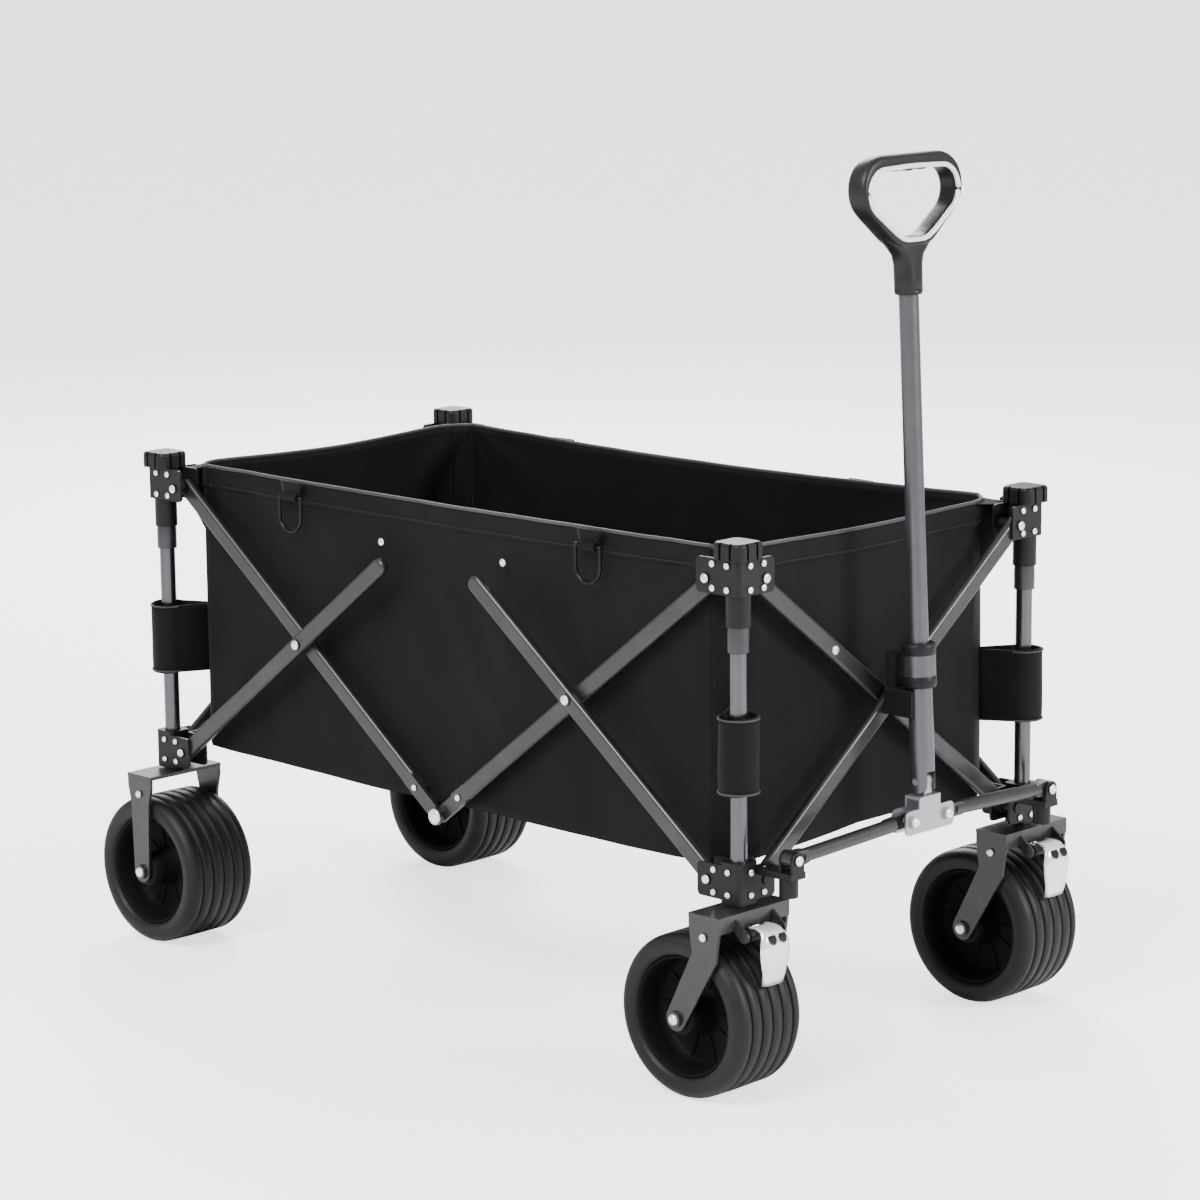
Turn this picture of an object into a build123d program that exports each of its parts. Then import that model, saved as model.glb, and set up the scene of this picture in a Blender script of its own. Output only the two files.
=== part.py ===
from build123d import *
from math import atan2, cos, degrees, hypot, radians, sin
import os

os.makedirs("parts", exist_ok=True)

# Folding camp wagon. Millimetres, X towards the pull handle, Z up, floor at z = 0.

# Scissor frame
half_span = 206.0
half_rise = 157.5
mid_ratio = 1.05
side_inset = 32.0
end_inset = 26.0
free_tail = 175.0
bar_width = 20.0
bar_depth = 10.0
bar_wall = 1.6
bar_edge = 3.8
bar_gap = 2.0
lap_length = 36.0
fitting_length = 60.0
fitting_width = 17.0

# Corner posts and brackets
post_diameter = 18.0
post_wall = 1.5
rod_engaged = 87.5
plate = 3.0
wing_tip = 13.0
dark_sleeve_diameter = 26.0
light_sleeve_diameter = 22.0
cap_width = 40.0

# Pins and running fits
pin_diameter = 6.0
cross_pin = 7.0
mid_pin = 8.0
head_height = 1.6
pin_fit = 0.05
slide_fit = 0.1
side_play = 0.4

# Wheels and forks
wheel_diameter = 175.0
wheel_headroom = 30.0
tyre_width = 96.0
tyre_play = 2.0
rim_diameter = 128.0
axle_diameter = 10.0
caster_trail = 40.0
fork_length = 43.0
fork_metal = 3.5
pedal_width = 51.0

# Front link and pull handle
link_reach = 50.7
link_diameter = 15.0
link_spread = 27.5
carrier_half = 39.0
handle_lean = 2.6
handle_outer = 26.0
handle_inner = 21.0
handle_wall = 1.5
collar_diameter = 35.0
collar_z = (101.0, 147.0)
grip_depth = 25.0

# Bag, measured in from the posts
bag_side_inset = 15.5
bag_front_inset = 22.3
bag_end_inset = 51.3
bag_corner_inset = 56.0
bag_rim = 25.0
cloth = 2.0
cloth_gap = 0.4
band_height = 78.0

wheel_radius = wheel_diameter / 2
fork_top = wheel_diameter + wheel_headroom
fork_plate = (fork_length, tyre_width + 2 * (tyre_play + fork_metal), fork_top)
pivot_z = fork_top + 25
bar_angle = atan2(half_rise, half_span)
reach = hypot(half_span, half_rise)
full_reach = reach * (1 + mid_ratio)
pivot_x = half_span * (1 + mid_ratio)
pivot_y = half_span
post_x = pivot_x + side_inset
post_y = pivot_y + end_inset
cross_z = pivot_z + half_rise
top_z = cross_z + half_rise
layer = (bar_depth + bar_gap) / 2
plate_in = bar_gap / 2 + bar_depth + side_play
plate_out = plate_in + plate
post_radius = post_diameter / 2
post_bottom = pivot_z - 24
post_top = top_z + 15
rod_bottom = cross_z - rod_engaged
low_bracket = (pivot_z - 18, pivot_z + 18)
low_sleeve = (pivot_z - 22, pivot_z + 22)
top_bracket = (top_z - 15, top_z + 22)
dark_sleeve = (top_z - 48, dark_sleeve_diameter)
light_sleeve = (top_z - 74, light_sleeve_diameter)
cap_top = top_z + 40
pedal_x = wheel_radius - caster_trail + 1.5
link_x = post_x + link_reach
link_out = (post_y - 24, pivot_z + 28)
link_in = (link_spread, pivot_z + 35)
carrier_z = (link_in[1] - 14, link_in[1] + 12)
handle_z = link_in[1] + 39
bag_side_y = post_y - bag_side_inset
bag_front_x = post_x - bag_front_inset
bag_side_end = post_x - bag_end_inset
bag_front_end = post_y - bag_corner_inset
bag_top = top_z + bag_rim
bag_bottom = pivot_z + 10
loop_z = (cross_z - 62.5, cross_z - 62.5 + band_height)
ring_places = (-0.608 * bag_side_end, 0.5707 * bag_side_end)
ring_z = bag_top - 18
parts = {}


def slab(x0, x1, y0, y1, z0, z1):
    centre = Pos((x0 + x1) / 2, (y0 + y1) / 2, (z0 + z1) / 2)
    return centre * Box(x1 - x0, y1 - y0, z1 - z0)


def rod_x(radius, x0, x1, y, z):
    return Pos((x0 + x1) / 2, y, z) * Rot(0, 90, 0) * Cylinder(radius, x1 - x0)


def rod_y(radius, y0, y1, x, z):
    return Pos(x, (y0 + y1) / 2, z) * Rot(90, 0, 0) * Cylinder(radius, y1 - y0)


def rod_z(radius, z0, z1, x=0, y=0):
    return Pos(x, y, (z0 + z1) / 2) * Cylinder(radius, z1 - z0)


def hull_plate(circles, depth):
    edges = []
    for u, v, radius in circles:
        edges += (Pos(u, v) * Circle(radius)).edges()
    return extrude(make_hull(edges), depth / 2, both=True)


def to_xz(shape, y=0):
    return Plane(origin=(0, y, 0), x_dir=(1, 0, 0), z_dir=(0, -1, 0)) * shape


def to_yz(shape, x=0):
    return Plane(origin=(x, 0, 0), x_dir=(0, 1, 0), z_dir=(1, 0, 0)) * shape


def keep(name, shape):
    parts[name] = shape


# Flat-oval tube drawn along local X with its first pivot at the origin.
def flat_tube(length):
    outline = Pos(length / 2, 0) * SlotCenterToCenter(length, bar_width)
    body = extrude(outline, bar_depth / 2, both=True)
    body = fillet(body.faces().filter_by(Axis.Z).edges(), bar_edge)
    core_width = bar_width - 5
    core_depth = bar_depth - 2 * bar_wall
    return body - slab(-4, length + 4, -core_width / 2, core_width / 2, -core_depth / 2, core_depth / 2)


def pin_hole(diameter, at):
    return rod_z(diameter / 2 + pin_fit, -bar_depth, bar_depth, at)


def cross_rivet(at, stud):
    low = -bar_depth / 2 - bar_gap - bar_depth - 0.3
    pin = rod_z(cross_pin / 2, low - head_height, stud, at)
    pin += rod_z(6.5, low - head_height, low, at)
    if stud < 8:
        pin += rod_z(6.5, bar_depth / 2, stud, at)
    return pin


def outer_side_bar():
    bar = flat_tube(reach + free_tail) - pin_hole(pin_diameter, 0)
    return bar + cross_rivet(reach, bar_depth / 2 + head_height)


def inner_side_bar(outer_half):
    tube_end = full_reach - 50
    bar = flat_tube(tube_end - bar_width / 2)
    for diameter, at in ((pin_diameter, 0), (cross_pin, reach)):
        bar -= pin_hole(diameter, at)
    block_start = full_reach - fitting_length
    block_end = full_reach - lap_length
    half = fitting_width / 2
    deep = bar_depth / 2
    bar += slab(block_start, block_end, -half, half, -deep, deep)
    tongue = Pos(full_reach - 20, 0) * SlotCenterToCenter(40, fitting_width)
    if outer_half:
        bar += Pos(0, 0, 0.2) * extrude(tongue, deep - 0.2)
        bar += rod_z(mid_pin / 2, -deep - 0.3 - head_height, deep + 3, full_reach)
        bar += rod_z(10, deep, deep + 3, full_reach)
        bar += rod_z(8, -deep - 0.3 - head_height, -deep - 0.3, full_reach)
    else:
        bar += Pos(0, 0, -deep) * extrude(tongue, deep - 0.2)
        bar -= pin_hole(mid_pin, full_reach)
    return bar + rod_z(3.2, deep, deep + 1, full_reach - 44)


def end_bar(outer, stud=0):
    bar = flat_tube(2 * reach)
    for at in (0, 2 * reach):
        bar -= pin_hole(pin_diameter, at)
    if outer:
        return bar + cross_rivet(reach, max(stud, bar_depth / 2 + head_height))
    return bar - pin_hole(cross_pin, reach)


def on_side(shape, x, z, offset, forward, up):
    direction = (forward * cos(bar_angle), 0, up * sin(bar_angle))
    plane = Plane(origin=(x, -post_y - offset, z), x_dir=direction, z_dir=(0, -1, 0))
    return plane * shape


def on_front(shape, y, offset, inward):
    direction = (0, inward * cos(bar_angle), sin(bar_angle))
    plane = Plane(origin=(post_x + offset, y, pivot_z), x_dir=direction, z_dir=(1, 0, 0))
    return plane * shape


side_bars = {
    "low_rear": on_side(outer_side_bar(), -pivot_x, pivot_z, layer, 1, 1),
    "high_rear": on_side(inner_side_bar(True), -pivot_x, top_z, -layer, 1, -1),
    "high_front": on_side(inner_side_bar(False), pivot_x, top_z, -layer, -1, -1),
    "low_front": on_side(outer_side_bar(), pivot_x, pivot_z, layer, -1, 1),
}
for name, bar in side_bars.items():
    keep("bar_right_" + name, bar)
    keep("bar_left_" + name, mirror(bar, about=Plane.XZ))

clip_back = post_x + layer + bar_depth / 2 + 0.5
keep("bar_front_outer", on_front(end_bar(True, 16.0), -pivot_y, layer, 1))
keep("bar_front_inner", on_front(end_bar(False), pivot_y, -layer, -1))
keep("bar_rear_outer", mirror(on_front(end_bar(True), -pivot_y, layer, 1), about=Plane.YZ))
keep("bar_rear_inner", mirror(on_front(end_bar(False), pivot_y, -layer, -1), about=Plane.YZ))


# Corner bracket drawn about the post axis; both wings point inboard, to -X and -Y.
def corner_bracket(plates, block, pivot, side_layer, end_layer):
    low, high = plates
    body = slab(-plate_out, plate_out, -plate_out, plate_out, block[0], block[1])
    body = fillet(body.edges().filter_by(Axis.Z), 5)
    far_x = side_inset + wing_tip
    far_y = end_inset + wing_tip
    for near, far in ((plate_in, plate_out), (-plate_out, -plate_in)):
        side_plate = slab(-far_x, 0, near, far, low, high)
        end_plate = slab(near, far, -far_y, 0, low, high)
        body += fillet(side_plate.edges().filter_by(Axis.Y).sort_by(Axis.X)[:2], 5)
        body += fillet(end_plate.edges().filter_by(Axis.X).sort_by(Axis.Y)[:2], 5)
    inner_end = plate_out + 1
    outer_end = plate_out + head_height
    body += rod_y(pin_diameter / 2, -inner_end, outer_end, -side_inset, pivot)
    body += rod_x(pin_diameter / 2, -inner_end, outer_end, -end_inset, pivot)
    for low_end, high_end in ((-inner_end, -plate_out), (plate_out, outer_end)):
        body += rod_y(5.5, low_end, high_end, -side_inset, pivot)
        body += rod_x(5.5, low_end, high_end, -end_inset, pivot)
    side_start = side_play if side_layer < 0 else -plate_in
    end_start = side_play if end_layer < 0 else -plate_in
    body += rod_y(7, side_start, side_start + plate_in - side_play, -side_inset, pivot)
    body += rod_x(7, end_start, end_start + plate_in - side_play, -end_inset, pivot)
    return body


def small_rivets(z_low, z_high):
    heads = []
    for z in (z_low, z_high):
        for offset in (2, 22):
            heads.append(rod_y(3.4, plate_out, plate_out + 1, -offset, z))
            heads.append(rod_x(3.4, plate_out, plate_out + 1, -offset, z))
    return heads


def link_clevis():
    y, z = link_out[0] - post_y, link_out[1]
    x = link_x - post_x
    body = slab(plate_in, x + 9.5, y - 11, y + 11, z - 20, z - 13)
    for near, far in ((-9.5, -6.3), (6.3, 9.5)):
        body += slab(x + near, x + far, y - 9, y + 9, z - 14, z)
        body += rod_x(9, x + near, x + far, y, z)
    body += rod_x(pin_diameter / 2, x - 11, x + 11, y, z)
    for near, far in ((-11, -9.5), (9.5, 11)):
        body += rod_x(5.5, x + near, x + far, y, z)
    return body + rod_z(10, z - 40, z - 20, x - 4, y)


def low_corner(end_layer, front):
    body = corner_bracket(low_bracket, low_sleeve, pivot_z, 1, end_layer)
    for head in small_rivets(low_bracket[0] + 6, low_bracket[1] - 6):
        body += head
    if front:
        body += link_clevis()
    return body - rod_z(post_radius, 0, cap_top)


def top_corner(end_layer):
    body = corner_bracket(top_bracket, top_bracket, top_z, -1, end_layer)
    for head in small_rivets(top_bracket[0] + 6, top_bracket[1] - 6):
        body += head
    body += rod_z(dark_sleeve[1] / 2, dark_sleeve[0], top_bracket[0])
    body += rod_z(light_sleeve[1] / 2, light_sleeve[0], dark_sleeve[0])
    body -= rod_z(post_radius + slide_fit, 0, post_top + 2)
    body += rod_z(post_radius - post_wall - slide_fit, rod_bottom, post_top + 3)
    cap_half = cap_width / 2
    cap = slab(-cap_half, cap_half, -cap_half, cap_half, top_bracket[1], cap_top)
    cap = fillet(cap.edges().filter_by(Axis.Z), 9)
    cap = fillet(cap.faces().sort_by(Axis.Z)[-1].edges(), 4)
    for side in (-1, 1):
        for offset in (-7, 7):
            notch_x = slab(-1.5, 1.5, -3, 3, top_bracket[1], cap_top)
            notch_y = slab(-3, 3, -1.5, 1.5, top_bracket[1], cap_top)
            cap -= Pos(offset, side * cap_half, 0) * notch_x
            cap -= Pos(side * cap_half, offset, 0) * notch_y
    return body + cap


def post_tube():
    return rod_z(post_radius, post_bottom, post_top) - rod_z(post_radius - post_wall, 0, cap_top)


# Caster fork drawn about the post axis.
def fork(trail, swivels):
    long, wide, top = fork_plate
    half = wide / 2
    body = slab(-long / 2, long / 2, -half, half, top - 4, top)
    upper = top - 45 if swivels else top - 33
    for side in (-1, 1):
        mid = side * (half - fork_metal / 2)
        leg = hull_plate(((-15, top - 13, 6), (15, top - 13, 6), (0, upper, 16)), fork_metal)
        leg += hull_plate(((0, upper, 16), (-trail, wheel_radius, 13)), fork_metal)
        body += to_xz(leg, mid)
        near = mid - fork_metal / 2
        body += slab(-21, 21, near, near + fork_metal, top - 15, top - 2)
    body += rod_y(axle_diameter / 2, -half, half, -trail, wheel_radius)
    for near, far in ((-half - 3.5, -half), (half, half + 3.5)):
        body += rod_y(8.5, near, far, -trail, wheel_radius)
        body += rod_y(4, max(near, -half - 1.5), min(far, half + 1.5), 0, top - 23)
    stem = post_radius - post_wall - (slide_fit if swivels else 0)
    body += rod_z(stem, top - 3, top + 45)
    body += rod_z(12, top - 1, top + 0.6)
    if swivels:
        skirt = long / 2
        body += slab(skirt - 3.5, skirt, -half, half, top - 17, top - 2)
        for side in (-1, 1):
            lug = hull_plate(((pedal_x - 16, top - 22, 6.5), (skirt - 3, top - 9, 5)), 3)
            body += to_xz(lug, side * (pedal_width / 2 + 2.5))
        body += rod_y(pin_diameter / 2, -pedal_width / 2 - 4, pedal_width / 2 + 4, pedal_x - 16, top - 22)
    return body


def pedal():
    eye_x, eye_z = pedal_x - 16, fork_top - 22
    body = hull_plate(((eye_x, eye_z, 6), (pedal_x, eye_z + 3, 3)), pedal_width)
    body += hull_plate(((pedal_x, eye_z + 3, 3), (pedal_x, eye_z - 49, 3)), pedal_width)
    body += hull_plate(((pedal_x, eye_z - 49, 3), (pedal_x + 3, eye_z - 52, 3)), pedal_width)
    return to_xz(body) - rod_y(pin_diameter / 2 + pin_fit, -40, 40, eye_x, eye_z)


def tyre():
    ring = Cylinder(wheel_radius, tyre_width)
    ring = fillet(ring.edges(), 9)
    for groove in (-0.31, -0.155, 0, 0.155, 0.31):
        cutter = Cylinder(wheel_radius + 1, 4) - Cylinder(wheel_radius - 3, 5)
        ring -= Pos(0, 0, groove * tyre_width) * cutter
    return Rot(90, 0, 0) * (ring - Cylinder(rim_diameter / 2, tyre_width + 2))


def rim():
    outer = rim_diameter / 2
    body = Cylinder(outer, tyre_width - 12) - Cylinder(outer - 5, tyre_width)
    body += Cylinder(outer - 4, 12)
    body += Cylinder(15, tyre_width + 2)
    for turn in range(10):
        rib = slab(12, outer - 4, -1.5, 1.5, -18, 18)
        body += Rot(0, 0, 36 * turn) * rib
    return Rot(90, 0, 0) * (body - Cylinder(axle_diameter / 2 + pin_fit, 120))


corners = {"front_left": (1, 1), "front_right": (1, -1), "rear_left": (-1, 1), "rear_right": (-1, -1)}
for name, (sx, sy) in corners.items():
    front = sx > 0

    def set_corner(shape):
        shape = Pos(post_x, post_y, 0) * shape
        if sy < 0:
            shape = mirror(shape, about=Plane.XZ)
        if sx < 0:
            shape = mirror(shape, about=Plane.YZ)
        return shape

    keep("low_bracket_" + name, set_corner(low_corner(-sy, front)))
    keep("top_bracket_" + name, set_corner(top_corner(sy)))
    keep("post_" + name, set_corner(post_tube()))
    trail = caster_trail if front else 0
    keep("fork_" + name, set_corner(fork(trail, front)))
    hub = Pos(sx * (post_x - trail), sy * post_y, wheel_radius)
    keep("tyre_" + name, hub * tyre())
    keep("rim_" + name, hub * rim())
    if front:
        keep("pedal_" + name, set_corner(pedal()))


# Front link pair, its carrier and the saddle clip at the front crossing.
def link(front_half):
    length = hypot(link_out[0] - link_in[0], link_in[1] - link_out[1])
    body = hull_plate(((0, 0, 9), (18, 0, 7)), 11.6)
    body += Pos((length - 8) / 2, 0) * Rot(0, 90, 0) * Cylinder(link_diameter / 2, length - 36)
    tongue = hull_plate(((length - 30, 0, 7), (length, 0, 8)), 5)
    body += Pos(0, 0, 3.2 if front_half else -3.2) * tongue
    body -= rod_z(pin_diameter / 2 + pin_fit, -9, 9)
    return body - rod_z(4.2, -9, 9, length)


link_angle = atan2(link_in[1] - link_out[1], link_out[0] - link_in[0])
for name, side in (("right", -1), ("left", 1)):
    direction = (0, -side * cos(link_angle), sin(link_angle))
    spot = (link_x, side * link_out[0], link_out[1])
    keep("link_" + name, Plane(origin=spot, x_dir=direction, z_dir=(1, 0, 0)) * link(side > 0))

carrier = slab(link_x - 10.1, link_x + 10.1, -17, 17, handle_z - 18, handle_z - 15)
for near, far in ((-10.1, -7.9), (7.9, 10.1)):
    face = slab(link_x + near, link_x + far, -carrier_half, carrier_half, carrier_z[0], carrier_z[1])
    carrier += fillet(face.edges().filter_by(Axis.X), 6)
    carrier += slab(link_x + near, link_x + far, -17, 17, carrier_z[1] - 2, handle_z - 15)
for side in (-1, 1):
    carrier += rod_x(6.5, link_x + 10.1, link_x + 14.1, side * link_in[0], link_in[1])
    carrier += rod_x(6.5, link_x - 13.1, link_x - 10.1, side * link_in[0], link_in[1])
toe_z = handle_z - 12
tongue = hull_plate(((link_x, handle_z, 8), (link_x - 3, toe_z, 4), (link_x + 3, toe_z, 4)), 12)
carrier += to_xz(tongue)
carrier += rod_y(mid_pin / 2, -12.4, 12.4, link_x, handle_z)
keep("handle_bracket", carrier)

saddle_back = link_x - 18.2
clip = slab(clip_back, link_x - 2, -17.5, 17.5, cross_z - 15.5, cross_z + 14.5)
clip = fillet(clip.edges().filter_by(Axis.X), 3)
clip += slab(clip_back, clip_back + 13, -15, 15, cross_z, cross_z + 52)
clip -= slab(saddle_back, link_x, -13.5, 13.5, 0, cap_top)
clip -= rod_x(cross_pin / 2 + pin_fit, 0, clip_back + 12.5, 0, cross_z)
keep("handle_clip", clip)


# Pull handle drawn upright with its hinge at the origin.
def set_handle(shape):
    return Pos(link_x, 0, handle_z) * Rot(0, -handle_lean, 0) * shape


sleeve = handle_outer / 2
bore = handle_inner / 2 + slide_fit
lower_top = 126.0
lower = rod_z(sleeve, 0, lower_top)
lower += rod_z(sleeve, -sleeve, 0) & rod_y(sleeve, -sleeve, sleeve, 0, 0)
collar = rod_z(collar_diameter / 2, collar_z[0], collar_z[1])
lower += fillet(collar.edges(), 4)
lower -= rod_z(bore, 16, collar_z[1] + 1)
lower -= slab(-20, 20, -6.3, 6.3, -20, 10.5)
lower -= rod_y(mid_pin / 2 + pin_fit, -20, 20, 0, 0)
keep("handle_lower_tube", set_handle(lower))

neck_z = 515.0
upper = rod_z(handle_inner / 2, 86, neck_z + 25)
upper -= rod_z(handle_inner / 2 - handle_wall, 80, neck_z + 30)
keep("handle_upper_tube", set_handle(upper))

outside = hull_plate(((-45, 624, 34), (45, 624, 34), (0, 600, 42)), grip_depth)
outside = fillet(outside.faces().filter_by(Axis.Z).edges(), 6)
neck_line = ((-13.5, neck_z), (13.5, neck_z), (14, 545), (30, 572), (-30, 572), (-14, 545))
neck = make_face(Polyline(*neck_line, close=True))
neck = extrude(neck, 13, both=True)
hole = hull_plate(((-46, 616, 25), (46, 616, 25), (0, 602, 32)), grip_depth + 4)
grip = outside + neck - hole
for bump in (-33, -11, 11, 33):
    grip += Pos(bump, 643) * Cylinder(5, grip_depth - 8)
grip = to_yz(grip) - rod_z(handle_inner / 2, neck_z - 1, neck_z + 25)
keep("handle_grip", set_handle(grip))


# Bag walls: thin closed panels hung between the corners.
inner_y = bag_side_y - cloth
side_wall = slab(-bag_side_end, bag_side_end, -bag_side_y, -inner_y, bag_bottom, bag_top)


def strip(x0, y0, x1, y1, thick, z0, z1):
    turn = degrees(atan2(y1 - y0, x1 - x0))
    span = hypot(x1 - x0, y1 - y0)
    centre = Pos((x0 + x1) / 2, (y0 + y1) / 2, (z0 + z1) / 2)
    return centre * Rot(0, 0, turn) * Box(span, thick, z1 - z0)


front_low = bag_bottom + 12
end_wall = slab(bag_front_x - cloth, bag_front_x, -bag_front_end, bag_front_end, front_low, bag_top - 4)
corner_x = bag_side_end + cloth_gap + 0.6
for side in (-1, 1):
    corner_y = side * (bag_side_y - cloth / 2)
    x1 = bag_front_x - cloth / 2
    end_wall += strip(x1, side * (bag_front_end - 0.5), corner_x, corner_y, cloth, front_low, bag_top - 4)

mid_x = (bag_front_x + corner_x) / 2
mid_y = (bag_front_end + bag_side_y) / 2


# Fabric band round a post and the gusset above it, for the corner at +X +Y.
def post_band():
    out_x, out_y = post_x - mid_x, post_y - mid_y
    span = hypot(out_x, out_y)
    turn = degrees(atan2(out_y, out_x))
    ring = rod_z(20.5, loop_z[0], loop_z[1], span) - rod_z(19, 0, cap_top, span)
    ring -= slab(0, span - 6, -30, 30, 0, cap_top)
    for side in (-1, 1):
        y0, y1 = side * 5.0, side * 19.3
        ring += strip(2.2, y0, span - 5.5, y1, 1.5, loop_z[0], loop_z[1])
    ring += slab(1.6, 3.1, -5.6, 5.6, loop_z[0], loop_z[1])
    end = span - hypot(plate_out, plate_out) - 1.3
    gusset = slab(0.7, end, -0.6, 0.6, top_bracket[0] + 4, top_bracket[1] - 1)
    return Pos(mid_x, mid_y, 0) * Rot(0, 0, turn) * (ring + gusset)


def turned(shape, sx, sy):
    if sy < 0:
        shape = mirror(shape, about=Plane.XZ)
    if sx < 0:
        shape = mirror(shape, about=Plane.YZ)
    return shape


band = post_band()
keep("bag_side_right", side_wall)
keep("bag_side_left", mirror(side_wall, about=Plane.XZ) + turned(band, -1, 1))
keep("bag_front", end_wall + turned(band, 1, -1))
keep("bag_rear", mirror(end_wall, about=Plane.YZ) + turned(band, -1, -1))
keep("bag_strap_front_left", band)
floor_x = bag_side_end - 1
floor_top = bag_bottom - cloth_gap
half_floor = slab(-floor_x, floor_x, cloth_gap - inner_y, -0.3, floor_top - 2.5, floor_top)
keep("bag_floor_right", half_floor)
keep("bag_floor_left", mirror(half_floor, about=Plane.XZ))

# Webbing tabs and their D-rings below the rim.
tab_y = bag_side_y + 0.3
ring_y = tab_y + 4.3
for name, x in (("rear", ring_places[0]), ("front", ring_places[1])):
    tab = slab(x - 12.5, x + 12.5, -tab_y - 2, -tab_y, ring_z, bag_top - 3)
    tab += rod_x(4.3, x - 12.5, x + 12.5, -ring_y, ring_z)
    tab -= rod_x(2.0 + pin_fit, x - 14, x + 14, -ring_y, ring_z)
    ring = rod_x(2, x - 18, x + 18, -ring_y, ring_z)
    for side in (-18, 18):
        ring += rod_z(2, ring_z - 22, ring_z, x + side, -ring_y)
        ring += Pos(x + side, -ring_y, ring_z) * Sphere(2)
    bow = Rot(90, 0, 0) * Torus(18, 2)
    bow -= slab(-30, 30, -5, 5, 0, 30)
    ring += Pos(x, -ring_y, ring_z - 22) * bow
    for side, shape_side in (("right", False), ("left", True)):
        keep("ring_tab_" + side + "_" + name, mirror(tab, about=Plane.XZ) if shape_side else tab)
        keep("d_ring_" + side + "_" + name, mirror(ring, about=Plane.XZ) if shape_side else ring)

boxes = [shape.bounding_box() for shape in parts.values()]
shift_x = -(min(box.min.X for box in boxes) + max(box.max.X for box in boxes)) / 2
for name, shape in parts.items():
    export_step(Pos(shift_x, 0, 0) * shape, "parts/" + name + ".step")
print(len(parts), "nodes, shift", round(shift_x, 4))
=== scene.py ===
import bpy
import math
import numpy as np
from mathutils import Matrix, Vector


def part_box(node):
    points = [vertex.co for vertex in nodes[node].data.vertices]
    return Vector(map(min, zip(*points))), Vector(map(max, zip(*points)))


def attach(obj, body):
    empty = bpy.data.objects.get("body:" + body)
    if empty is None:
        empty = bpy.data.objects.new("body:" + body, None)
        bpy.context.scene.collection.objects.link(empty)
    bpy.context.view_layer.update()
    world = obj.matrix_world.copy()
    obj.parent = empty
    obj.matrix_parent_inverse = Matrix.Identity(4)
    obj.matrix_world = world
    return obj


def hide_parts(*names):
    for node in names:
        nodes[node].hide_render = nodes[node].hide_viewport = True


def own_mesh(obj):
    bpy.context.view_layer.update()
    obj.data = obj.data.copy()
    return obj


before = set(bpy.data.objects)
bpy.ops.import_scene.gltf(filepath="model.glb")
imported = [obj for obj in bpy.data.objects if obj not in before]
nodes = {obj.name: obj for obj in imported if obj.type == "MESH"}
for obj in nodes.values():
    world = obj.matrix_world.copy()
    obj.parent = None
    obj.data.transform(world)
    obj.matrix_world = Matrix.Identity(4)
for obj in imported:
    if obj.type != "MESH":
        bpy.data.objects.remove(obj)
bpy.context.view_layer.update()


def boxMiddle(node):
    low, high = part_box(node)
    return (low + high) / 2


frontPost, rearPost = boxMiddle("post_front_left"), boxMiddle("post_rear_left")
middleX = (frontPost.x + rearPost.x) / 2
postX = (frontPost.x - rearPost.x) / 2
postY = frontPost.y
postAcross, postAlong = postY * 1000, postX * 1000  # half spacings, in mm
cornerName = {(1, 1): "front_left", (1, -1): "front_right", (-1, 1): "rear_left", (-1, -1): "rear_right"}
topBody = {signs: corner + "_top" for signs, corner in cornerName.items()}
lowBody = {signs: corner + "_corner" for signs, corner in cornerName.items()}


def at(x, y, z):
    return Vector((middleX + x / 1000, y / 1000, z / 1000))


# Mesh makers
def newPiece(name, points, faces, material, body, uv=None, smooth=True):
    mesh = bpy.data.meshes.new(name)
    mesh.from_pydata([tuple(p) for p in points], [], faces)
    if uv is not None:
        layer = mesh.uv_layers.new(name="UVMap")
        for loop in mesh.loops:
            layer.data[loop.index].uv = uv[loop.vertex_index]
    mesh.polygons.foreach_set("use_smooth", [smooth] * len(mesh.polygons))
    mesh.materials.append(material)
    piece = bpy.data.objects.new(name, mesh)
    bpy.context.scene.collection.objects.link(piece)
    if body:
        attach(piece, body)
    return piece


def bakeModifiers(piece):
    bpy.context.view_layer.update()
    graph = bpy.context.evaluated_depsgraph_get()
    baked = bpy.data.meshes.new_from_object(piece.evaluated_get(graph))
    piece.modifiers.clear()
    piece.data = baked


def thicken(piece, thickness, offset=0.0):
    solid = piece.modifiers.new("thickness", "SOLIDIFY")
    solid.thickness = thickness
    solid.offset = offset
    bakeModifiers(piece)


def gridFaces(rows, columns, wrapColumns=False, wrapRows=False):
    faces = []
    for r in range(rows if wrapRows else rows - 1):
        for c in range(columns if wrapColumns else columns - 1):
            r2, c2 = (r + 1) % rows, (c + 1) % columns
            faces.append((r * columns + c, r * columns + c2, r2 * columns + c2, r2 * columns + c))
    return faces


def tubeAlong(name, path, radius, material, body, closed=False, sides=12, flat=1.0):
    path = [Vector(p) for p in path]
    points = []
    count = len(path)
    for i, p in enumerate(path):
        before = path[i - 1] if (i > 0 or closed) else p
        after = path[(i + 1) % count] if (i < count - 1 or closed) else p
        along = (after - before).normalized()
        side = along.cross(Vector((0, 0, 1)))
        if side.length < 0.05:
            side = along.cross(Vector((0, 1, 0)))
        side.normalize()
        up = side.cross(along)
        for k in range(sides):
            turn = 2 * math.pi * k / sides
            points.append(p + side * math.cos(turn) * radius * flat + up * math.sin(turn) * radius)
    faces = gridFaces(count, sides, True, closed)
    if not closed:
        faces.append(tuple(reversed(range(sides))))
        faces.append(tuple(range((count - 1) * sides, count * sides)))
    return newPiece(name, points, faces, material, body)


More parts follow.
